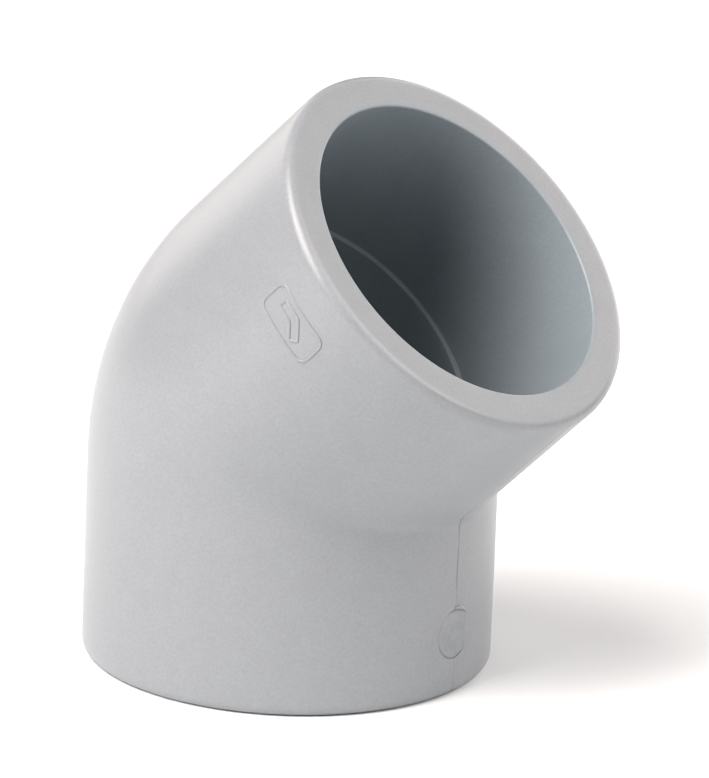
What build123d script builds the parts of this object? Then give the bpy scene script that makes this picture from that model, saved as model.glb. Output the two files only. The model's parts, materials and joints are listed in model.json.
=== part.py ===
from build123d import *
import math
import os

# A 45 degree solvent-cement elbow for 63 mm pressure pipe, moulded in one piece in PVC-U.
# Millimetres. The origin is the centre of the lower mouth, +Z runs up the lower leg's axis,
# and the upper leg leans towards +X. The mould parts in the XZ plane.

# Legs and bend
outer_radius = 39.0
leg_length = 50.8  # from each mouth to the point where the two leg axes cross
bend_angle = 45.0
bend_radius = 29.6  # of the outer skin's centre line: the heel's own radius adds outer_radius
crotch_radius = 3.6  # rounding of the inner corner between the legs

# A socket for the pipe in each leg, and the water passage between them
bore_radius = 31.6
socket_depth = 38.0
passage_radius = 30.5  # the step in from bore_radius is the ledge that stops the pipe

# Edges of each mouth
mouth_rounding = 1.8
bore_chamfer = 0.4

# Where the gate was cut off, on the crotch side of the lower leg: a flat inside a fine groove
gate_radius = 4.9  # of the groove's outer wall
gate_height = 12.2
gate_flat = 38.7  # distance of the flat from the lower leg's axis
groove_floor = 38.4  # and of the groove's floor
groove_width = 0.5

half_bend = math.radians(bend_angle / 2)
crossing = Vector(0, 0, leg_length)
upper_axis = Vector(math.sin(2 * half_bend), 0, math.cos(2 * half_bend))
mitre = Plane(origin=crossing, z_dir=(math.sin(half_bend), 0, math.cos(half_bend)))
standing = (Align.CENTER, Align.CENTER, Align.MIN)


def on_both_legs(lower):
    """A solid on the lower leg together with its mirror image on the upper leg."""
    return lower + mirror(lower, about=mitre)


def bend_start(centre_line_radius):
    """Height on the lower leg at which a bend of this radius begins."""
    return leg_length - centre_line_radius * math.tan(half_bend)


def bend_sector(radius, centre_line_radius):
    """The bent stretch of a round bar, as far in as the axis that it bends about."""
    height = bend_start(centre_line_radius)
    heel_side = Pos(centre_line_radius - 2 * radius, 0) * Rectangle(4 * radius, 4 * radius)
    section = Pos(0, 0, height) * (Circle(radius) & heel_side)
    bend_axis = Axis((centre_line_radius, 0, height), (0, 1, 0))
    return revolve(section, bend_axis, bend_angle)


def crotch_crease():
    """The arc of ellipse along which the two legs' skins meet, up to where the bend takes over."""
    crease_end = math.degrees(math.acos((bend_radius - crotch_radius) / outer_radius))
    across = Plane(
        origin=crossing,
        x_dir=(math.cos(half_bend), 0, -math.sin(half_bend)),
        z_dir=mitre.z_dir,
    )
    long_radius = outer_radius / math.cos(half_bend)
    return Edge.make_ellipse(long_radius, outer_radius, across, -crease_end, crease_end)


def crotch_filler():
    """Rounds the inner corner: a small arc carried along the crease between the legs."""
    crease = crotch_crease()
    corner = crease.position_at(0)
    tangent_length = crotch_radius * math.tan(half_bend)
    outward = (upper_axis - Vector(0, 0, 1)).normalized()
    low = corner - Vector(0, 0, tangent_length)
    high = corner + upper_axis * tangent_length
    middle = corner + outward * crotch_radius * (1 / math.cos(half_bend) - 1)
    buried = corner - outward * crotch_radius / 2
    outline = Wire(
        [
            Edge.make_three_point_arc(low, middle, high),
            Edge.make_line(high, buried),
            Edge.make_line(buried, low),
        ]
    )
    return Solid.sweep(Face(outline), Wire([crease]), mode=Vector(0, 1, 0))


def outer_form():
    """The elbow's outside as a solid bar, with the outer edge of each mouth rounded."""
    straight = Cylinder(outer_radius, bend_start(bend_radius), align=standing)
    form = on_both_legs(straight) + bend_sector(outer_radius, bend_radius) + crotch_filler()
    whole_turn = 2 * math.pi * outer_radius
    rims = [e for e in form.edges().filter_by(GeomType.CIRCLE) if e.length > 0.99 * whole_turn]
    return fillet(rims, mouth_rounding)


def waterway():
    """All that is hollow: a socket in each leg down to its ledge, and the bend between them."""
    socket = Cylinder(bore_radius, socket_depth, align=standing)
    lead_in = Cone(bore_radius + bore_chamfer, bore_radius, bore_chamfer, align=standing)
    passage_bend_radius = (leg_length - socket_depth) / math.tan(half_bend)
    return on_both_legs(socket + lead_in) + bend_sector(passage_radius, passage_bend_radius)


def gate_plane(distance):
    """The plane facing the gate, at this distance from the lower leg's axis."""
    return Plane(origin=(distance, 0, gate_height), z_dir=(1, 0, 0))


def gate_scar():
    """What the trimming took away: a disc down to a flat, and the groove round it."""
    disc = Cylinder(gate_radius, outer_radius - gate_flat, align=standing)
    groove_depth = outer_radius - groove_floor
    ring = Cylinder(gate_radius, groove_depth, align=standing) - Cylinder(
        gate_radius - groove_width, groove_depth, align=standing
    )
    return gate_plane(gate_flat) * disc + gate_plane(groove_floor) * ring


elbow_body = outer_form() - waterway() - gate_scar()
elbow_body.label = "elbow_body"

os.makedirs("parts", exist_ok=True)
export_step(elbow_body, "parts/elbow_body.step")
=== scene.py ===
"""Looks of a 45 degree solvent-cement pipe elbow, built around its CAD frame.

The body is one moulding, so it is one mesh: a Geometry Nodes tree lathes one leg from its
meridian, bends it into the elbow, mirrors it, presses in the mould's witness line and cuts
the gate's scar. The moulded mark and the gate's burr are small pieces standing on that skin.
"""
import json
import math

import bmesh
import bpy
from bpy.props import FloatProperty, IntProperty, PointerProperty, StringProperty
from mathutils import Matrix, Vector

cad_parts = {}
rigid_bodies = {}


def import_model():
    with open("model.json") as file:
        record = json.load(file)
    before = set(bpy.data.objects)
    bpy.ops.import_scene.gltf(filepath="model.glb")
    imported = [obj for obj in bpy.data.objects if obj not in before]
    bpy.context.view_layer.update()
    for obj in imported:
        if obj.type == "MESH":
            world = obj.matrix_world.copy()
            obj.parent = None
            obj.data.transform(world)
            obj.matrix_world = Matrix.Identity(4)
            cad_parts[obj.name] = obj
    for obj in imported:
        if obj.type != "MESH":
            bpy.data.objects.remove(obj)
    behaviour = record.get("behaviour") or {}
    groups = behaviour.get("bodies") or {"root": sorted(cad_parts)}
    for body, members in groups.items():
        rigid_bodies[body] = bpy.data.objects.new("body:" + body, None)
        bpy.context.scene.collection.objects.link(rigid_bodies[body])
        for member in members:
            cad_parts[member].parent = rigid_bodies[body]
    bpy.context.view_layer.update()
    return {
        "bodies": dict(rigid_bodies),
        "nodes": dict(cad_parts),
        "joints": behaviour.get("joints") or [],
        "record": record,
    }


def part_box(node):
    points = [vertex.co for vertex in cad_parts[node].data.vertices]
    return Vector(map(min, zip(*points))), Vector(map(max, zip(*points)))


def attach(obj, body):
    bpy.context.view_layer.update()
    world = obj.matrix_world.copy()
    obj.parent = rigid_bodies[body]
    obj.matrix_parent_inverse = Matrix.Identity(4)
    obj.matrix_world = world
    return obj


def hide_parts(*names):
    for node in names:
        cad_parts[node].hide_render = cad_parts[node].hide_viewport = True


bl_info = {
    "name": "Pipe Elbow",
    "version": (1, 0, 0),
    "blender": (4, 5, 0),
    "location": "3D View > Sidebar > Pipe Elbow",
    "description": "Builds a moulded PVC-U pipe elbow and a small studio around it",
    "category": "Add Mesh",
}

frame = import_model()

MM = 0.001
BODY = "root"
CAD_NODE = "elbow_body"

mounts = {m["name"]: m for m in frame["record"]["mounts"]}
upper_mouth = Vector(mounts["upper_socket"]["pos_m"])
UPPER_AXIS = Vector(mounts["upper_socket"]["axis"]).normalized()
BORE_RADIUS = mounts["lower_socket"]["dims"]["r_mm"] * MM
SOCKET_DEPTH = mounts["lower_stop"]["pos_m"][2]
OUTER_RADIUS = round(-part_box(CAD_NODE)[0].x, 5)
BEND_ANGLE = math.acos(UPPER_AXIS.z)
LEG_LENGTH = upper_mouth.x / UPPER_AXIS.x
CROSSING = Vector((0, 0, LEG_LENGTH))
MITRE_NORMAL = Vector((math.sin(BEND_ANGLE / 2), 0, math.cos(BEND_ANGLE / 2)))

CROWDING = 0.45  # half this much is the share by which columns near the parting plane close up
BEND_SHARE = 0.6  # height on the straight leg, as a share of it, where the skin's bend rows start
FAIRING = 2.5 * MM  # over which the bend's radius eases into the crotch's
WELD = 0.002 * MM  # vertices closer than this are one
CORNER_POINTS = 6  # on each corner that is rounded
GATE_TILT = math.radians(-1.8)  # of the trimmed flat about Z: the knife went in deeper at -Y
DEEP_SIDE = (0, -0.85, 0.5)  # where the groove round the gate is deepest, from the gate's middle
RAGGED = (0.08 * MM, 0.4 * MM, 0.4 * MM)  # unevenness of the trimmed flat and of its edge
BODY_CREASE = math.radians(32)  # edges sharper than this are drawn sharp
BEAD_CREASE = math.radians(60)
FLOOR_RADIUS = 0.9  # in metres
TARGET = Vector((12.33, 1.81, 54.07)) * MM  # the point of the fitting that the camera centres
SOFTBOXES = (  # name, azimuth and elevation in degrees, side in metres, watts
    ("top", -23, 62, 0.8, 17.3),
    ("front", -19, 35, 0.8, 14.2),
    ("right", 100, 45, 1.1, 7.4),
    ("back_right", 122, 34, 1.1, 6.2),
    ("back", 180, 12, 0.8, 7.2),
    ("back_left", -113, 17, 0.8, 3.5),
)


def length(name, description, default):
    """A size in metres that the sidebar shows in the scene's length unit."""
    return FloatProperty(
        name=name, description=description, default=default, min=0, precision=5, unit="LENGTH"
    )


def colour(name, description, default):
    """A colour kept as its sRGB hex value."""
    return StringProperty(name=name, description=description, default=default, maxlen=7)


# --- Settings a user would change ---------------------------------------------------------


class ElbowSizes(bpy.types.PropertyGroup):
    """Sizes of the moulding. The first five come from the CAD frame."""

    outer_radius: length("Outer Radius", "Radius of each leg's skin", OUTER_RADIUS)
    leg_length: length("Leg Length", "From a mouth to the crossing of the axes", LEG_LENGTH)
    bore_radius: length("Bore Radius", "Radius of each socket", BORE_RADIUS)
    socket_depth: length("Socket Depth", "From a mouth to the pipe's stop", SOCKET_DEPTH)
    bend_angle: FloatProperty(
        name="Bend Angle", description="Turn from one leg to the other", default=BEND_ANGLE,
        subtype="ANGLE",
    )
    passage_radius: length("Passage Radius", "Radius of the waterway between the ledges", 30.5 * MM)
    bend_radius: length("Bend Radius", "Of the skin's centre line", 29.6 * MM)
    crotch_radius: length("Crotch Radius", "Rounding of the inner corner", 3.6 * MM)
    mouth_rounding: length("Mouth Rounding", "Of each mouth's outer edge", 1.8 * MM)
    bore_edge: length("Bore Edge", "Rounding of each socket's lip", 0.4 * MM)
    ledge_edge: length("Ledge Edge", "Rounding of the ledge's corners", 0.15 * MM)
    columns: IntProperty(
        name="Columns", description="Mesh columns round the skin", default=360, min=16
    )
    row_height: length("Row Height", "Mesh row height on the skin", 0.9 * MM)
    inner_row_height: length("Inner Row Height", "Mesh row height inside", 1.9 * MM)


class WitnessSizes(bpy.types.PropertyGroup):
    """The marks that the mould leaves: its parting line and its trimmed gate."""

    line_width: length("Line Width", "Width of the parting line's groove", 0.42 * MM)
    line_depth: length("Line Depth", "Depth of the parting line's groove", 0.16 * MM)
    waviness: length("Waviness", "Height of the skin's slow unevenness", 0.03 * MM)
    gate_radius: length("Gate Radius", "Radius of the trimmed gate's scar", 4.9 * MM)
    gate_height: length("Gate Height", "Of the scar's centre above the lower mouth", 12.2 * MM)
    gate_flat: length("Gate Flat", "From the leg's axis to the scar's flat", 38.7 * MM)
    groove_width: length("Groove Width", "Of the groove round the flat", 0.6 * MM)
    groove_depth: length("Groove Depth", "Of the groove below the flat", 0.3 * MM)


# --- Small tools ---------------------------------------------------------------------------


def linear(hex_colour):
    """An sRGB hex colour as the linear RGBA that shaders and lights take."""
    channels = [int(hex_colour[i : i + 2], 16) / 255 for i in (1, 3, 5)]
    decoded = [c / 12.92 if c <= 0.04045 else ((c + 0.055) / 1.055) ** 2.4 for c in channels]
    return (*decoded, 1.0)


def add_node(tree, kind, settings=None, inputs=None):
    """Adds a node, sets its properties, and gives its inputs values or other nodes' outputs."""
    node = tree.nodes.new(kind)
    for name, value in (settings or {}).items():
        setattr(node, name, value)
    for key, value in (inputs or {}).items():
        if isinstance(value, bpy.types.NodeSocket):
            tree.links.new(value, node.inputs[key])
        else:
            node.inputs[key].default_value = value
    return node


def calc(tree, operation, *values):
    """The result of a Math node on these values or other nodes' outputs."""
    return add_node(
        tree, "ShaderNodeMath", {"operation": operation}, dict(enumerate(values))
    ).outputs[0]


def position(tree):
    """Each point's own position."""
    return add_node(tree, "GeometryNodeInputPosition").outputs[0]


def named(tree, attribute):
    """A number stored on the geometry."""
    return add_node(
        tree, "GeometryNodeInputNamedAttribute", {"data_type": "FLOAT"}, {"Name": attribute}
    ).outputs[0]


def store(tree, geometry, attribute, value, data_type="FLOAT", domain="POINT"):
    """The geometry with this value stored on it."""
    return add_node(
        tree, "GeometryNodeStoreNamedAttribute", {"data_type": data_type, "domain": domain},
        {"Geometry": geometry, "Name": attribute, "Value": value},
    ).outputs[0]


def new_tree(name, sizes):
    """A Geometry Nodes tree that takes the geometry and the named sizes, and its input sockets."""
    tree = bpy.data.node_groups.new(name, "GeometryNodeTree")
    tree.interface.new_socket("Geometry", in_out="INPUT", socket_type="NodeSocketGeometry")
    tree.interface.new_socket("Geometry", in_out="OUTPUT", socket_type="NodeSocketGeometry")
    for label, value in sizes.items():
        kind = {int: "Int", float: "Float"}.get(type(value), "Material")
        tree.interface.new_socket(label, in_out="INPUT", socket_type="NodeSocket" + kind)
    return tree, tree.nodes.new("NodeGroupInput").outputs


def run_tree(obj, tree, sizes):
    """Runs the tree on the object with these sizes, and leaves the plain mesh that it makes."""
    modifier = obj.modifiers.new(tree.name, "NODES")
    modifier.node_group = tree
    for label, value in sizes.items():
        modifier[tree.interface.items_tree[label].identifier] = value
    graph = bpy.context.evaluated_depsgraph_get()
    made = bpy.data.meshes.new_from_object(obj.evaluated_get(graph), depsgraph=graph)
    obj.modifiers.clear()
    if made.materials[0] is None:  # the empty slot that a Boolean leaves
        made.materials.pop(index=0)
    return made


def new_object(name, data):
    """An object at the origin, in the scene."""
    obj = bpy.data.objects.new(name, data)
    bpy.context.scene.collection.objects.link(obj)
    return obj


def settle(obj):
    """Says that a finished piece is part of the rigid moulding."""
    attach(obj, BODY)


# --- Body ----------------------------------------------------------------------------------


def meridian(sizes):
    """Corners of one leg's outline before it is bent: radius, height and rounding of each."""
    return [
        (sizes.outer_radius, sizes.leg_length, 0),
        (sizes.outer_radius, 0, sizes.mouth_rounding),
        (sizes.bore_radius, 0, sizes.bore_edge),
        (sizes.bore_radius, sizes.socket_depth, sizes.ledge_edge),
        (sizes.passage_radius, sizes.socket_depth, sizes.ledge_edge),
        (sizes.passage_radius, sizes.leg_length, 0),
    ]


def meridian_mesh(sizes):
    """The meridian as a chain of edges, with each corner's rounding as an attribute."""
    corners = meridian(sizes)
    mesh = bpy.data.meshes.new("elbow_meridian")
    chain = [(i, i + 1) for i in range(len(corners) - 1)]
    mesh.from_pydata([(radius, 0, height) for radius, height, _ in corners], chain, [])
    rounding = mesh.attributes.new("rounding", "FLOAT", "POINT")
    rounding.data.foreach_set("value", [corner[2] for corner in corners])
    return mesh


def meridian_rows(tree, sizes):
    """Rounds the meridian's corners and divides it into the rows of the mesh."""
    curve = add_node(tree, "GeometryNodeMeshToCurve", inputs={"Mesh": sizes["Geometry"]})
    rounding = named(tree, "rounding")
    rounded = add_node(
        tree, "GeometryNodeFilletCurve", {"mode": "POLY"},
        {"Curve": curve.outputs[0], "Count": CORNER_POINTS, "Radius": rounding},
    )
    here = position(tree)
    index = add_node(tree, "GeometryNodeInputIndex").outputs[0]
    following = calc(tree, "ADD", index, 1)
    there = add_node(
        tree, "GeometryNodeFieldAtIndex", {"data_type": "FLOAT_VECTOR"},
        {"Value": here, "Index": following},
    )
    span = add_node(
        tree, "ShaderNodeVectorMath", {"operation": "DISTANCE"}, {0: here, 1: there.outputs[0]}
    )
    radius = add_node(tree, "ShaderNodeSeparateXYZ", inputs={"Vector": here})
    outside = calc(tree, "GREATER_THAN", radius.outputs["X"], sizes["Bore Radius"])
    pitch = add_node(
        tree, "GeometryNodeSwitch", {"input_type": "FLOAT"},
        {"Switch": outside, "False": sizes["Inner Row Height"], "True": sizes["Row Height"]},
    )
    cuts = calc(tree, "DIVIDE", span.outputs["Value"], pitch.outputs[0])
    rows = add_node(
        tree, "GeometryNodeSubdivideCurve", inputs={"Curve": rounded.outputs[0], "Cuts": cuts}
    )
    return rows.outputs[0]


def lathe(tree, sizes, rows):
    """A grid with a row for each point of the meridian; returns it and its straight positions.
    The columns crowd together at the parting plane, where the witness line needs them."""
    count = add_node(
        tree, "GeometryNodeAttributeDomainSize", {"component": "CURVE"}, {"Geometry": rows}
    ).outputs["Point Count"]
    seam = calc(tree, "ADD", sizes["Columns"], 1)
    grid = add_node(
        tree, "GeometryNodeMeshGrid", inputs={"Vertices X": seam, "Vertices Y": count}
    )
    index = add_node(tree, "GeometryNodeInputIndex").outputs[0]
    ratio = calc(tree, "DIVIDE", index, count)
    column = calc(tree, "FLOOR", ratio)
    row = calc(tree, "FLOORED_MODULO", index, count)
    turn = add_node(
        tree, "ShaderNodeMapRange", {"clamp": False},
        {"Value": column, "From Max": sizes["Columns"], "To Max": 2 * math.pi},
    )
    double = calc(tree, "MULTIPLY", turn.outputs[0], 2)
    swing = calc(tree, "SINE", double)
    angle = calc(tree, "MULTIPLY_ADD", swing, -CROWDING, turn.outputs[0])
    outline = add_node(
        tree, "GeometryNodeSampleIndex", {"data_type": "FLOAT_VECTOR", "domain": "POINT"},
        {"Geometry": rows, "Value": position(tree),
         "Index": row},
    )
    turned = add_node(
        tree, "ShaderNodeVectorRotate", {"rotation_type": "Z_AXIS"},
        {"Vector": outline.outputs[0], "Angle": angle},
    )
    return grid.outputs["Mesh"], outline.outputs[0], turned.outputs[0]


def bend(tree, sizes, outline, straight):
    """Where a point of the straight leg goes on the bent one. Each line along the leg turns by
    half the bend with a radius of its own: the bend's, less the line's distance towards the
    crotch, but never tighter than the crotch's."""
    profile = add_node(tree, "ShaderNodeSeparateXYZ", inputs={"Vector": outline}).outputs
    point = add_node(tree, "ShaderNodeSeparateXYZ", inputs={"Vector": straight}).outputs
    is_skin = calc(tree, "GREATER_THAN", profile["X"], sizes["Bore Radius"])
    skin_radius = calc(tree, "SUBTRACT", sizes["Bend Radius"], point["X"])
    eased = calc(tree, "SMOOTH_MAX", skin_radius, sizes["Crotch Radius"], FAIRING)
    rise = calc(tree, "SUBTRACT", sizes["Leg Length"], sizes["Socket Depth"])
    tangent = calc(tree, "TANGENT", sizes["Half Bend"])
    passage_bend = calc(tree, "DIVIDE", rise, tangent)
    passage_radius = calc(tree, "SUBTRACT", passage_bend, point["X"])
    radius = add_node(
        tree, "GeometryNodeSwitch", {"input_type": "FLOAT"},
        {"Switch": is_skin, "False": passage_radius, "True": eased},
    )
    centre_x = calc(tree, "ADD", point["X"], radius.outputs[0])
    setback = calc(tree, "MULTIPLY", centre_x, tangent)
    bend_start = calc(tree, "SUBTRACT", sizes["Leg Length"], setback)
    skin_share = calc(tree, "MULTIPLY", sizes["Leg Length"], BEND_SHARE)
    kept = add_node(
        tree, "GeometryNodeSwitch", {"input_type": "FLOAT"},
        {"Switch": is_skin, "False": sizes["Socket Depth"], "True": sizes["Mouth Rounding"]},
    ).outputs[0]
    split = add_node(
        tree, "GeometryNodeSwitch", {"input_type": "FLOAT"},
        {"Switch": is_skin, "False": sizes["Socket Depth"], "True": skin_share},
    ).outputs[0]
    foot = calc(tree, "MINIMUM", profile["Z"], kept)
    straight_run = calc(tree, "SUBTRACT", bend_start, kept)
    climb = add_node(
        tree, "ShaderNodeMapRange",
        inputs={"Value": profile["Z"], "From Min": kept, "From Max": split,
                "To Max": straight_run},
    )
    height = calc(tree, "ADD", foot, climb.outputs[0])
    turn = add_node(
        tree, "ShaderNodeMapRange",
        inputs={"Value": profile["Z"], "From Min": split, "From Max": sizes["Leg Length"],
                "To Max": sizes["Half Bend"]},
    )
    unbent = add_node(
        tree, "ShaderNodeCombineXYZ", inputs={"X": point["X"], "Y": point["Y"], "Z": height}
    )
    centre = add_node(tree, "ShaderNodeCombineXYZ", inputs={"X": centre_x, "Z": bend_start})
    bent = add_node(
        tree, "ShaderNodeVectorRotate", {"rotation_type": "Y_AXIS"},
        {"Vector": unbent.outputs[0], "Center": centre.outputs[0], "Angle": turn.outputs[0]},
    )
    return bent.outputs[0]


def outermost(tree, sizes, outline):
    """1 on the skin, fading to 0 over each mouth's rounding, and 0 inside."""
    profile = add_node(tree, "ShaderNodeSeparateXYZ", inputs={"Vector": outline})
    edge = calc(tree, "SUBTRACT", sizes["Outer Radius"], sizes["Mouth Rounding"])
    return add_node(
        tree, "ShaderNodeMapRange",
        inputs={"Value": profile.outputs["X"], "From Min": edge,
                "From Max": sizes["Outer Radius"]},
    ).outputs[0]


def within_bore(tree, sizes, outline):
    """1 in the sockets and the passage, fading to 0 over the first millimetre of a mouth's face."""
    profile = add_node(tree, "ShaderNodeSeparateXYZ", inputs={"Vector": outline})
    face = calc(tree, "ADD", sizes["Bore Radius"], 1 * MM)
    return add_node(
        tree, "ShaderNodeMapRange",
        inputs={"Value": profile.outputs["X"], "From Min": face,
                "From Max": sizes["Bore Radius"]},
    ).outputs[0]


def mirror_in_mitre(tree, point):
    """Positions on the lower leg reflected into the upper one."""
    offset = add_node(
        tree, "ShaderNodeVectorMath", {"operation": "SUBTRACT"}, {0: point, 1: CROSSING}
    )
    reflected = add_node(
        tree, "ShaderNodeVectorMath", {"operation": "REFLECT"},
        {0: offset.outputs[0], 1: MITRE_NORMAL},
    )
    return add_node(
        tree, "ShaderNodeVectorMath", {"operation": "ADD"}, {0: reflected.outputs[0], 1: CROSSING}
    ).outputs[0]


def both_legs(tree, sizes):
    """The whole skin, sockets and passage: a bent leg and its reflection, welded at the mitre."""
    rows = meridian_rows(tree, sizes)
    grid, outline, straight = lathe(tree, sizes, rows)
    bent = bend(tree, sizes, outline, straight)
    marked = store(tree, grid, "skin", outermost(tree, sizes, outline))
    # The 'bore' mask marks where the bore's painted shade goes: a bluer, slightly darker tone
    # inside.
    toned = store(tree, marked, "bore", within_bore(tree, sizes, outline))
    lower = add_node(
        tree, "GeometryNodeSetPosition", inputs={"Geometry": toned, "Position": bent}
    ).outputs[0]
    here = position(tree)
    reflected = add_node(
        tree, "GeometryNodeSetPosition",
        inputs={"Geometry": lower, "Position": mirror_in_mitre(tree, here)},
    )
    lower_out = add_node(tree, "GeometryNodeFlipFaces", inputs={"Mesh": lower})
    joined = add_node(tree, "GeometryNodeJoinGeometry")
    tree.links.new(reflected.outputs[0], joined.inputs[0])
    tree.links.new(lower_out.outputs[0], joined.inputs[0])
    welded = add_node(
        tree, "GeometryNodeMergeByDistance",
        inputs={"Geometry": joined.outputs[0], "Distance": WELD},
    )
    return welded.outputs[0]


def faded_noise(tree, feature, low, high):
    """Noise with patches of about this size in metres, faded from 0 at low to 1 at high."""
    noise = add_node(
        tree, "ShaderNodeTexNoise", inputs={"Scale": 1 / feature, "Detail": 2.0, "Roughness": 0.5}
    )
    return add_node(
        tree, "ShaderNodeMapRange", {"interpolation_type": "SMOOTHSTEP"},
        {"Value": noise.outputs["Fac"], "From Min": low, "From Max": high},
    ).outputs[0]


def gate_distance(tree, sizes):
    """How far a point is from the middle of the gate's flat, seen along X, and which way."""
    middle = add_node(
        tree, "ShaderNodeCombineXYZ", inputs={"X": sizes["Gate Flat"], "Z": sizes["Gate Height"]}
    )
    offset = add_node(
        tree, "ShaderNodeVectorMath", {"operation": "SUBTRACT"},
        {0: position(tree), 1: middle.outputs[0]},
    )
    across = add_node(
        tree, "ShaderNodeVectorMath", {"operation": "MULTIPLY"},
        {0: offset.outputs[0], 1: (0, 1, 1)},
    ).outputs[0]
    distance = add_node(tree, "ShaderNodeVectorMath", {"operation": "LENGTH"}, {0: across})
    return distance.outputs["Value"], across


def gate_stain(tree, sizes):
    """Faint patches of stain on and round the gate's scar, on the crotch side only."""
    distance, _ = gate_distance(tree, sizes)
    near = add_node(
        tree, "ShaderNodeMapRange", {"interpolation_type": "SMOOTHSTEP"},
        {"Value": distance, "From Min": 9 * MM, "From Max": 2 * MM, "To Max": 0.2},
    )
    place = add_node(tree, "ShaderNodeSeparateXYZ", inputs={"Vector": position(tree)})
    this_side = calc(tree, "GREATER_THAN", place.outputs["X"], sizes["Bore Radius"])
    patches = calc(tree, "MULTIPLY", faded_noise(tree, 3.5 * MM, 0.42, 0.62), near.outputs[0])
    return calc(tree, "MULTIPLY", patches, this_side)


def press_witness_line(tree, sizes, geometry):
    """A fine broken groove where the two halves of the mould met, and the skin's slow waves."""
    place = add_node(tree, "ShaderNodeSeparateXYZ", inputs={"Vector": position(tree)})
    aside = calc(tree, "ABSOLUTE", place.outputs["Y"])
    half_width = calc(tree, "MULTIPLY", sizes["Line Width"], 0.5)
    groove = add_node(
        tree, "ShaderNodeMapRange", {"interpolation_type": "SMOOTHSTEP"},
        {"Value": aside, "From Min": half_width, "From Max": 0.0},
    )
    broken = add_node(
        tree, "ShaderNodeMapRange",
        inputs={"Value": faded_noise(tree, 7 * MM, 0.38, 0.62), "To Min": 0.2},
    )
    skin = named(tree, "skin")
    pressed = calc(tree, "MULTIPLY", groove.outputs[0], broken.outputs[0])
    witness = calc(tree, "MULTIPLY", pressed, skin)
    # The parting line's groove is darkened as painted shade; the patches round the gate are stain.
    groove_shade_and_stain = calc(tree, "MAXIMUM", witness, gate_stain(tree, sizes))
    stored = store(tree, geometry, "witness", groove_shade_and_stain)
    waves = calc(tree, "MULTIPLY", faded_noise(tree, 24 * MM, 0.2, 0.8), sizes["Waviness"])
    wave = calc(tree, "MULTIPLY", waves, skin)
    depth = calc(tree, "MULTIPLY_ADD", witness, sizes["Line Depth"], wave)
    inward = calc(tree, "MULTIPLY", depth, -1.0)
    normal = add_node(tree, "GeometryNodeInputNormal").outputs["Normal"]
    offset = add_node(
        tree, "ShaderNodeVectorMath", {"operation": "SCALE"}, {0: normal, "Scale": inward}
    )
    return add_node(
        tree, "GeometryNodeSetPosition",
        inputs={"Geometry": stored, "Offset": offset.outputs[0]},
    ).outputs[0]


def groove_depth(tree, sizes):
    """How deep the groove round the gate's flat is at a point of the cutting tool: a narrow
    furrow along its edge, deepest at the top and on the -Y side, and broken by noise."""
    distance, across = gate_distance(tree, sizes)
    in_from_edge = calc(tree, "SUBTRACT", sizes["Gate Radius"], distance)
    furrow = add_node(
        tree, "ShaderNodeMapRange", {"interpolation_type": "SMOOTHSTEP"},
        {"Value": in_from_edge, "From Min": sizes["Groove Width"], "From Max": 0.12 * MM},
    )
    direction = add_node(tree, "ShaderNodeVectorMath", {"operation": "NORMALIZE"}, {0: across})
    side = add_node(
        tree, "ShaderNodeVectorMath", {"operation": "DOT_PRODUCT"},
        {0: direction.outputs[0], 1: DEEP_SIDE},
    )
    lopsided = add_node(
        tree, "ShaderNodeMapRange",
        inputs={"Value": side.outputs["Value"], "From Min": -0.5, "From Max": 0.5},
    )
    uneven = add_node(
        tree, "ShaderNodeMapRange",
        inputs={"Value": faded_noise(tree, 2.2 * MM, 0.35, 0.6), "To Min": 0.5},
    )
    shape = calc(tree, "MULTIPLY", furrow.outputs[0], lopsided.outputs[0])
    return calc(tree, "MULTIPLY", shape, uneven.outputs[0])


def cut_gate_scar(tree, sizes, geometry):
    """Cuts the gate's scar: a slightly ragged flat, a little deeper on its -Y side as a knife
    leaves it, with a fine groove round it."""
    tool_length = 4 * MM
    tool = add_node(
        tree, "GeometryNodeMeshCylinder", {"fill_type": "TRIANGLE_FAN"},
        {"Vertices": 120, "Side Segments": 1, "Fill Segments": 36,
         "Radius": sizes["Gate Radius"], "Depth": tool_length},
    )
    reach = calc(tree, "ADD", sizes["Gate Flat"], tool_length / 2)
    place = add_node(
        tree, "ShaderNodeCombineXYZ", inputs={"X": reach, "Z": sizes["Gate Height"]}
    )
    aimed = add_node(
        tree, "GeometryNodeTransform",
        inputs={"Geometry": tool.outputs["Mesh"], "Translation": place.outputs[0],
                "Rotation": (0, math.radians(90), GATE_TILT)},
    )
    place = add_node(tree, "ShaderNodeSeparateXYZ", inputs={"Vector": position(tree)})
    is_flat = calc(tree, "LESS_THAN", place.outputs["X"], reach)
    share = calc(tree, "MULTIPLY", groove_depth(tree, sizes), is_flat)
    # The gate's groove is darkened as painted shade; the patches round it are stain.
    groove_shade_and_stain = calc(tree, "MAXIMUM", share, gate_stain(tree, sizes))
    shade_and_stain_marked = store(tree, aimed.outputs[0], "witness", groove_shade_and_stain)
    deeper = calc(tree, "MULTIPLY", share, sizes["Groove Depth"])
    down = calc(tree, "MULTIPLY", deeper, -1.0)
    sunk = add_node(tree, "ShaderNodeCombineXYZ", inputs={"X": down})
    noise = add_node(
        tree, "ShaderNodeTexNoise",
        inputs={"Scale": 1 / (1.6 * MM), "Detail": 2.0, "Roughness": 0.6},
    )
    centred = add_node(
        tree, "ShaderNodeVectorMath", {"operation": "SUBTRACT"},
        {0: noise.outputs["Color"], 1: (0.5, 0.5, 0.5)},
    )
    ragged = add_node(
        tree, "ShaderNodeVectorMath", {"operation": "MULTIPLY_ADD"},
        {0: centred.outputs[0], 1: RAGGED, 2: sunk.outputs[0]},
    )
    torn = add_node(
        tree, "GeometryNodeSetPosition",
        inputs={"Geometry": shade_and_stain_marked, "Offset": ragged.outputs[0]},
    )
    cut = add_node(
        tree, "GeometryNodeMeshBoolean", {"operation": "DIFFERENCE", "solver": "MANIFOLD"},
        {"Mesh 1": geometry, "Mesh 2": torn.outputs[0]},
    )
    return cut.outputs["Mesh"]


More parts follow.
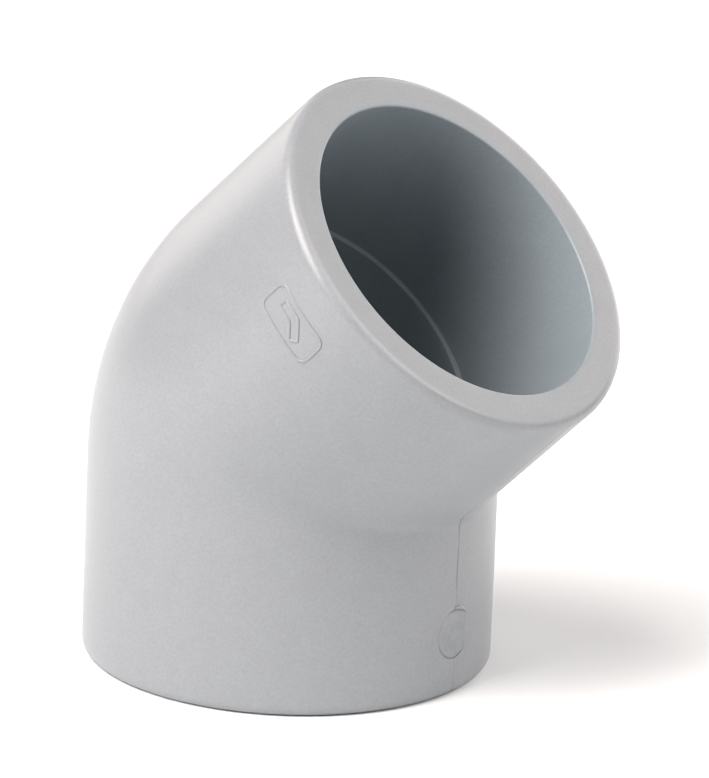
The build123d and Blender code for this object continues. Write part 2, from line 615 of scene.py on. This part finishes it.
def finish_surface(tree, sizes, geometry, sharp_angle):
    """Smooth shading with sharp edges kept, and the material."""
    smooth = add_node(tree, "GeometryNodeSetShadeSmooth", inputs={"Geometry": geometry})
    angle = add_node(tree, "GeometryNodeInputMeshEdgeAngle").outputs["Unsigned Angle"]
    sharp = calc(tree, "GREATER_THAN", angle, sharp_angle)
    creased = store(tree, smooth.outputs[0], "sharp_edge", sharp, "BOOLEAN", "EDGE")
    real = add_node(tree, "GeometryNodeRealizeInstances", inputs={"Geometry": creased})
    dressed = add_node(
        tree, "GeometryNodeSetMaterial",
        inputs={"Geometry": real.outputs[0], "Material": sizes["Material"]},
    )
    out = tree.nodes.new("NodeGroupOutput")
    tree.links.new(dressed.outputs[0], out.inputs[0])


def body_inputs(sizes, witness, material):
    """The body tree's named inputs and their values."""
    return {
        "Outer Radius": sizes.outer_radius,
        "Bore Radius": sizes.bore_radius,
        "Leg Length": sizes.leg_length,
        "Half Bend": sizes.bend_angle / 2,
        "Socket Depth": sizes.socket_depth,
        "Bend Radius": sizes.bend_radius,
        "Crotch Radius": sizes.crotch_radius,
        "Mouth Rounding": sizes.mouth_rounding,
        "Columns": sizes.columns,
        "Row Height": sizes.row_height,
        "Inner Row Height": sizes.inner_row_height,
        "Line Width": witness.line_width,
        "Line Depth": witness.line_depth,
        "Waviness": witness.waviness,
        "Gate Radius": witness.gate_radius,
        "Gate Height": witness.gate_height,
        "Gate Flat": witness.gate_flat,
        "Groove Width": witness.groove_width,
        "Groove Depth": witness.groove_depth,
        "Material": material,
    }


class MESH_OT_elbow_body(bpy.types.Operator):
    """Build the moulding: skin, sockets, ledges, waterway, parting line and gate scar"""

    bl_idname = "mesh.elbow_body"
    bl_label = "Body"

    def execute(self, context):
        scene = context.scene
        sizes = scene.elbow_sizes
        inputs = body_inputs(sizes, scene.elbow_witness, pvc_material(scene.elbow_finish))
        tree, sockets = new_tree("elbow_from_meridian", inputs)
        skin = press_witness_line(tree, sockets, both_legs(tree, sockets))
        finish_surface(tree, sockets, cut_gate_scar(tree, sockets, skin), BODY_CREASE)
        maker = new_object("elbow_meridian", meridian_mesh(sizes))
        body = new_object("elbow_shell", run_tree(maker, tree, inputs))
        bpy.data.objects.remove(maker)
        settle(body)
        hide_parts(CAD_NODE)
        return {"FINISHED"}


# --- Relief on the skin --------------------------------------------------------------------


class ReliefSizes(bpy.types.PropertyGroup):
    """The moulded mark on the upper leg and the gate's burr on the lower one."""

    line_width: length("Line Width", "Width of the mark's raised lines", 0.56 * MM)
    line_height: length("Line Height", "Height of the mark's lines above the skin", 0.18 * MM)
    mark_length: length("Mark Length", "Of the mark's frame round the leg", 14.0 * MM)
    mark_width: length("Mark Width", "Of the mark's frame along the leg", 7.0 * MM)
    mark_height: length("Mark Height", "Of the mark's centre from the upper mouth", 12.0 * MM)
    mark_turn: FloatProperty(
        name="Mark Turn", description="Of the mark's centre about the leg, from +X",
        default=math.radians(-91.5), subtype="ANGLE",
    )
    burr_radius: length("Burr Radius", "Of the burr's arc round the gate", 5.05 * MM)
    burr_thickness: length("Burr Thickness", "Of the burr at its middle", 0.8 * MM)
    burr_height: length("Burr Height", "Of the burr above the skin", 0.4 * MM)


def mark_outlines(sizes):
    """The mark's closed outlines, a frame round a bent pipe, each with its corners' rounding."""
    x, y = sizes.mark_length / 2, sizes.mark_width / 2
    frame = [Vector(corner) for corner in ((x, y, 0), (-x, y, 0), (-x, -y, 0), (x, -y, 0))]
    run, half_pipe = 0.28 * sizes.mark_length, 0.14 * sizes.mark_width
    along, across = Vector((1, 0, 0)), Vector((0, 1, 0))
    slant = along * math.cos(BEND_ANGLE) + across * math.sin(BEND_ANGLE)
    aside = across * math.cos(BEND_ANGLE) - along * math.sin(BEND_ANGLE)
    elbow = -0.16 * sizes.mark_width * across
    path = [
        (elbow - along * run, across), (elbow, (across + aside) / (1 + math.cos(BEND_ANGLE))),
        (elbow + slant * run, aside),
    ]
    pipe = [point + side * half_pipe for point, side in path]
    pipe += [point - side * half_pipe for point, side in reversed(path)]
    return [(frame, 0.25 * sizes.mark_width), (pipe, 0.3 * half_pipe)]


def outlines_mesh(name, outlines):
    """A mesh of loose closed chains of edges, with each corner's rounding as an attribute."""
    points, edges, roundings = [], [], []
    for outline, rounding in outlines:
        first, count = len(points), len(outline)
        edges += [(first + i, first + (i + 1) % count) for i in range(count)]
        points += outline
        roundings += [rounding] * count
    mesh = bpy.data.meshes.new(name)
    mesh.from_pydata(points, edges, [])
    mesh.attributes.new("rounding", "FLOAT", "POINT").data.foreach_set("value", roundings)
    return mesh


def bead(tree, curve, width, height, radius=1.0):
    """A solid rounded bead along a curve in the plane: this wide, and this high above it."""
    thick = add_node(tree, "GeometryNodeSetCurveRadius", inputs={"Curve": curve, "Radius": radius})
    half = calc(tree, "MULTIPLY", width, 0.5)
    profile = add_node(
        tree, "GeometryNodeCurvePrimitiveCircle", inputs={"Resolution": 12, "Radius": half}
    )
    swept = add_node(
        tree, "GeometryNodeCurveToMesh",
        inputs={"Curve": thick.outputs[0], "Profile Curve": profile.outputs[0], "Scale": radius,
                "Fill Caps": True},
    )
    flatter = calc(tree, "DIVIDE", height, half)
    scale = add_node(
        tree, "ShaderNodeCombineXYZ", inputs={"X": 1.0, "Y": 1.0, "Z": flatter}
    )
    return add_node(
        tree, "GeometryNodeTransform",
        inputs={"Geometry": swept.outputs[0], "Scale": scale.outputs[0]},
    ).outputs[0]


def wrap_on_leg(tree, sizes, flat):
    """Rolls flat geometry onto the lower leg: X goes round the skin, Y up it and Z outwards."""
    here = add_node(tree, "ShaderNodeSeparateXYZ", inputs={"Vector": position(tree)}).outputs
    arc = calc(tree, "DIVIDE", here["X"], sizes["Outer Radius"])
    angle = calc(tree, "ADD", arc, sizes["Turn"])
    radius = calc(tree, "ADD", here["Z"], sizes["Outer Radius"])
    height = calc(tree, "ADD", here["Y"], sizes["Height"])
    spoke = add_node(
        tree, "ShaderNodeCombineXYZ", inputs={"X": radius, "Z": height}
    )
    rolled = add_node(
        tree, "ShaderNodeVectorRotate", {"rotation_type": "Z_AXIS"},
        {"Vector": spoke.outputs[0], "Angle": angle},
    )
    return add_node(
        tree, "GeometryNodeSetPosition", inputs={"Geometry": flat, "Position": rolled.outputs[0]}
    ).outputs[0]


class MESH_OT_elbow_mark(bpy.types.Operator):
    """Build the moulded mark: a raised frame round a plain sign for a 45 degree bend"""

    bl_idname = "mesh.elbow_mark"
    bl_label = "Moulded Mark"

    def execute(self, context):
        sizes = context.scene.elbow_relief
        inputs = {
            "Outer Radius": context.scene.elbow_sizes.outer_radius,
            "Line Width": sizes.line_width,
            "Line Height": sizes.line_height,
            "Height": sizes.mark_height,
            "Turn": sizes.mark_turn,
            "Material": pvc_material(context.scene.elbow_finish),
        }
        tree, sockets = new_tree("mark_from_outlines", inputs)
        outlines = add_node(tree, "GeometryNodeMeshToCurve", inputs={"Mesh": sockets["Geometry"]})
        rounding = named(tree, "rounding")
        rounded = add_node(
            tree, "GeometryNodeFilletCurve", {"mode": "POLY"},
            {"Curve": outlines.outputs[0], "Count": CORNER_POINTS, "Radius": rounding},
        )
        even = add_node(
            tree, "GeometryNodeResampleCurve", {"mode": "LENGTH"},
            {"Curve": rounded.outputs[0], "Length": 0.3 * MM},
        )
        lines = bead(tree, even.outputs[0], sockets["Line Width"], sockets["Line Height"])
        on_lower = wrap_on_leg(tree, sockets, lines)
        here = position(tree)
        on_upper = add_node(
            tree, "GeometryNodeSetPosition",
            inputs={"Geometry": on_lower, "Position": mirror_in_mitre(tree, here)},
        )
        turned_out = add_node(tree, "GeometryNodeFlipFaces", inputs={"Mesh": on_upper.outputs[0]})
        finish_surface(tree, sockets, turned_out.outputs[0], BEAD_CREASE)
        maker = new_object("mark_outlines", outlines_mesh("mark_outlines", mark_outlines(sizes)))
        mark = new_object("moulded_mark", run_tree(maker, tree, inputs))
        bpy.data.objects.remove(maker)
        settle(mark)
        return {"FINISHED"}


class MESH_OT_elbow_burr(bpy.types.Operator):
    """Build the burr that the trimming left along the top of the gate's groove"""

    bl_idname = "mesh.elbow_burr"
    bl_label = "Gate Burr"

    def execute(self, context):
        sizes = context.scene.elbow_relief
        inputs = {
            "Outer Radius": context.scene.elbow_sizes.outer_radius,
            "Arc Radius": sizes.burr_radius,
            "Thickness": sizes.burr_thickness,
            "Burr Height": sizes.burr_height,
            "Height": context.scene.elbow_witness.gate_height,
            "Turn": 0.0,
            "Material": pvc_material(context.scene.elbow_finish),
        }
        tree, sockets = new_tree("burr_from_arc", inputs)
        arc = add_node(
            tree, "GeometryNodeCurveArc",
            inputs={"Resolution": 28, "Radius": sockets["Arc Radius"],
                    "Start Angle": math.radians(42), "Sweep Angle": math.radians(52)},
        )
        along = add_node(tree, "GeometryNodeSplineParameter").outputs["Factor"]
        crown = add_node(tree, "ShaderNodeFloatCurve", inputs={"Value": along})
        points = crown.mapping.curves[0].points
        points[0].location, points[1].location = (0, 0.08), (1, 0.08)
        points.new(0.4, 0.75)
        points.new(0.75, 1.0)
        lump = bead(
            tree, arc.outputs[0], sockets["Thickness"], sockets["Burr Height"], crown.outputs[0]
        )
        finish_surface(tree, sockets, wrap_on_leg(tree, sockets, lump), BEAD_CREASE)
        maker = new_object("burr_seed", bpy.data.meshes.new("burr_seed"))
        burr = new_object("gate_burr", run_tree(maker, tree, inputs))
        bpy.data.objects.remove(maker)
        settle(burr)
        return {"FINISHED"}


# --- Material ------------------------------------------------------------------------------


class ElbowFinish(bpy.types.PropertyGroup):
    """Colours and surface of the plastic, with the painted shade in its bore and grooves."""

    body_colour: colour("Body Colour", "Light grey PVC-U", "#8C9094")
    # The bore colour is painted shade: a bluer, slightly darker tone that stands in for the dim
    # bounced light inside the sockets.
    bore_shade_colour: colour("Bore Shade Colour", "The same plastic, tinted as painted shade", "#858F95")
    # The groove colour is painted shade in the parting line and the gate's groove, and stain round
    # the gate.
    groove_shade_and_stain_colour: colour("Groove Shade And Stain Colour", "Painted shade in the grooves, stain round the gate", "#6E7276")
    roughness: FloatProperty(
        name="Roughness", description="Of the moulded skin", default=0.31, min=0, max=1
    )
    grain: length("Grain", "Size of the plastic's fine flecks", 0.55 * MM)
    mottle: length("Mottle", "Size of the pigment's clouds", 5 * MM)


def pvc_material(finish):
    """Unplasticised PVC, injection moulded: an opaque satin grey with a soft broad sheen that
    sharpens at grazing angles, faint pigment clouds and fine flecks. The bore's bluer, slightly
    darker tone is painted shade, an adjustment for the dim bounced light inside the sockets. The
    parting line and the groove round the gate are darkened as painted shade, and faint stain lies
    round the gate."""
    material = bpy.data.materials.get("pvc_u_moulded_grey")
    if material:
        return material
    material = bpy.data.materials.new("pvc_u_moulded_grey")
    material.use_nodes = True
    tree = material.node_tree
    tree.nodes.clear()
    place = add_node(tree, "ShaderNodeTexCoord").outputs["Object"]
    clouds = add_node(
        tree, "ShaderNodeTexNoise",
        inputs={"Vector": place, "Scale": 1 / finish.mottle, "Detail": 4.0, "Roughness": 0.65},
    )
    grain = add_node(
        tree, "ShaderNodeTexNoise",
        inputs={"Vector": place, "Scale": 1 / finish.grain, "Detail": 2.0, "Roughness": 0.55},
    )
    tone = add_node(
        tree, "ShaderNodeMapRange",
        inputs={"Value": clouds.outputs["Fac"], "From Min": 0.3, "From Max": 0.7,
                "To Min": 0.98, "To Max": 1.02},
    )
    fleck = add_node(
        tree, "ShaderNodeMapRange",
        inputs={"Value": grain.outputs["Fac"], "From Min": 0.3, "From Max": 0.7,
                "To Min": 0.945, "To Max": 1.055},
    )
    mottled = calc(tree, "MULTIPLY", tone.outputs[0], fleck.outputs[0])
    # Inside the sockets and the passage the colour turns to the bore's painted shade.
    bore = add_node(
        tree, "ShaderNodeAttribute", {"attribute_name": "bore", "attribute_type": "GEOMETRY"}
    )
    plastic = add_node(
        tree, "ShaderNodeMix", {"data_type": "RGBA"},
        {"Factor": bore.outputs["Fac"],
         6: linear(finish.body_colour), 7: linear(finish.bore_shade_colour)},
    )
    tinted = add_node(
        tree, "ShaderNodeVectorMath", {"operation": "SCALE"},
        {0: plastic.outputs[2], "Scale": mottled},
    )
    # The 'witness' attribute darkens the parting line and the gate's groove as painted shade, and
    # marks the stain round the gate.
    witness = add_node(
        tree, "ShaderNodeAttribute", {"attribute_name": "witness", "attribute_type": "GEOMETRY"}
    )
    groove_shade_and_stain = add_node(
        tree, "ShaderNodeMix", {"data_type": "RGBA"},
        {"Factor": witness.outputs["Fac"], 6: tinted.outputs[0], 7: linear(finish.groove_shade_and_stain_colour)},
    )
    gloss = add_node(
        tree, "ShaderNodeMapRange",
        inputs={"Value": clouds.outputs["Fac"], "From Min": 0.3, "From Max": 0.7,
                "To Min": finish.roughness - 0.02, "To Max": finish.roughness + 0.02},
    )
    relief = add_node(
        tree, "ShaderNodeBump",
        inputs={"Height": clouds.outputs["Fac"], "Distance": 0.02 * MM, "Strength": 0.5},
    )
    shader = add_node(
        tree, "ShaderNodeBsdfPrincipled",
        inputs={"Base Color": groove_shade_and_stain.outputs[2], "Roughness": gloss.outputs[0], "IOR": 1.53,
                "Normal": relief.outputs[0]},
    )
    add_node(tree, "ShaderNodeOutputMaterial", inputs={"Surface": shader.outputs[0]})
    return material


# --- Stage ---------------------------------------------------------------------------------


class StudioSettings(bpy.types.PropertyGroup):
    """Camera, softboxes and floor."""

    azimuth: FloatProperty(
        name="Azimuth", description="Camera's turn about +Z from -Y towards +X",
        default=math.radians(35.67), subtype="ANGLE",
    )
    elevation: FloatProperty(
        name="Elevation", description="Camera's height above the horizon",
        default=math.radians(17.39), subtype="ANGLE",
    )
    roll: FloatProperty(
        name="Roll", description="Camera's tilt to the side", default=math.radians(2.32),
        subtype="ANGLE",
    )
    distance: length("Distance", "From the camera to its target", 1.3448)
    lens: FloatProperty(name="Lens", description="Focal length in millimetres", default=331.1)
    softbox_distance: length("Softbox Distance", "From each softbox to the fitting", 1.2)
    light_colour: colour("Light Colour", "Slightly warm white", "#FFF7F3")
    floor_colour: colour("Floor Colour", "Matte white paper", "#ECF0F2")


def camera_axes(studio):
    """The camera's right, up and backward directions."""
    level = Vector((math.cos(studio.azimuth), math.sin(studio.azimuth), 0))
    back = Vector(
        (
            math.sin(studio.azimuth) * math.cos(studio.elevation),
            -math.cos(studio.azimuth) * math.cos(studio.elevation),
            math.sin(studio.elevation),
        )
    )
    upright = back.cross(level)
    right = level * math.cos(studio.roll) + upright * math.sin(studio.roll)
    return right, back.cross(right), back


def place_camera(studio):
    """A long lens that looks a little down on the fitting and is rolled slightly."""
    right, up, back = camera_axes(studio)
    camera = new_object("camera", bpy.data.cameras.new("camera"))
    camera.data.lens = studio.lens
    camera.data.clip_end = 20
    turn = Matrix((right, up, back)).transposed().to_4x4()
    camera.matrix_world = Matrix.Translation(TARGET + back * studio.distance) @ turn
    bpy.context.scene.camera = camera


def softbox(name, azimuth, elevation, side, watts, studio):
    """A square area light that faces the fitting; azimuth is from -Y towards +X, in degrees."""
    data = bpy.data.lights.new(name, "AREA")
    data.size = side
    data.energy = watts
    data.color = linear(studio.light_colour)[:3]
    lamp = new_object(name, data)
    turn, lift = math.radians(azimuth), math.radians(elevation)
    level = math.cos(lift)
    outward = Vector((math.sin(turn) * level, -math.cos(turn) * level, math.sin(lift)))
    lamp.location = TARGET + outward * studio.softbox_distance
    lamp.rotation_euler = outward.to_track_quat("Z", "Y").to_euler()


class SCENE_OT_elbow_stage(bpy.types.Operator):
    """Set up the floor, the light and the camera"""

    bl_idname = "scene.elbow_stage"
    bl_label = "Stage"

    def execute(self, context):
        studio = context.scene.elbow_studio
        floor_mesh = bpy.data.meshes.new("floor")
        shape = bmesh.new()
        bmesh.ops.create_circle(shape, cap_ends=True, segments=96, radius=FLOOR_RADIUS)
        shape.to_mesh(floor_mesh)
        shape.free()
        floor = new_object("floor", floor_mesh)
        floor_mesh.materials.append(paper_material(studio))
        for name, azimuth, elevation, side, watts in SOFTBOXES:
            softbox(name, azimuth, elevation, side, watts, studio)
        world = bpy.data.worlds.new("studio")
        world.use_nodes = True
        backdrop = world.node_tree.nodes["Background"]
        backdrop.inputs["Color"].default_value = linear("#FFFFFF")
        seen = add_node(world.node_tree, "ShaderNodeLightPath").outputs["Is Camera Ray"]
        world.node_tree.links.new(seen, backdrop.inputs["Strength"])  # seen, but lights nothing
        context.scene.world = world
        context.scene.view_settings.view_transform = "Standard"
        place_camera(studio)
        return {"FINISHED"}


def paper_material(studio):
    """Seamless background paper: matte white fibre with a trace of tooth."""
    material = bpy.data.materials.new("background_paper")
    material.use_nodes = True
    tree = material.node_tree
    tree.nodes.clear()
    place = add_node(tree, "ShaderNodeTexCoord").outputs["Object"]
    tooth = add_node(tree, "ShaderNodeTexNoise", inputs={"Vector": place, "Scale": 1 / (0.8 * MM)})
    relief = add_node(
        tree, "ShaderNodeBump", inputs={"Height": tooth.outputs["Fac"], "Distance": 0.01 * MM}
    )
    shader = add_node(
        tree, "ShaderNodeBsdfPrincipled",
        inputs={"Base Color": linear(studio.floor_colour), "Roughness": 0.9,
                "Normal": relief.outputs[0]},
    )
    add_node(tree, "ShaderNodeOutputMaterial", inputs={"Surface": shader.outputs[0]})
    return material


# --- Add-on --------------------------------------------------------------------------------


class VIEW3D_PT_elbow(bpy.types.Panel):
    """Lists the elbow's operators"""

    bl_label = "Pipe Elbow"
    bl_space_type = "VIEW_3D"
    bl_region_type = "UI"
    bl_category = "Pipe Elbow"

    def draw(self, context):
        for operator in OPERATORS:
            self.layout.operator(operator.bl_idname)


GROUPS = {
    "elbow_sizes": ElbowSizes,
    "elbow_witness": WitnessSizes,
    "elbow_relief": ReliefSizes,
    "elbow_finish": ElbowFinish,
    "elbow_studio": StudioSettings,
}
OPERATORS = (MESH_OT_elbow_body, MESH_OT_elbow_mark, MESH_OT_elbow_burr, SCENE_OT_elbow_stage)


def register():
    for name, group in GROUPS.items():
        bpy.utils.register_class(group)
        setattr(bpy.types.Scene, name, PointerProperty(type=group))
    for cls in (*OPERATORS, VIEW3D_PT_elbow):
        bpy.utils.register_class(cls)


def unregister():
    for cls in (VIEW3D_PT_elbow, *reversed(OPERATORS)):
        bpy.utils.unregister_class(cls)
    for name, group in reversed(GROUPS.items()):
        delattr(bpy.types.Scene, name)
        bpy.utils.unregister_class(group)


def main():
    register()
    bpy.ops.mesh.elbow_body()
    bpy.ops.mesh.elbow_mark()
    bpy.ops.mesh.elbow_burr()
    bpy.ops.scene.elbow_stage()


if __name__ == "__main__":
    main()
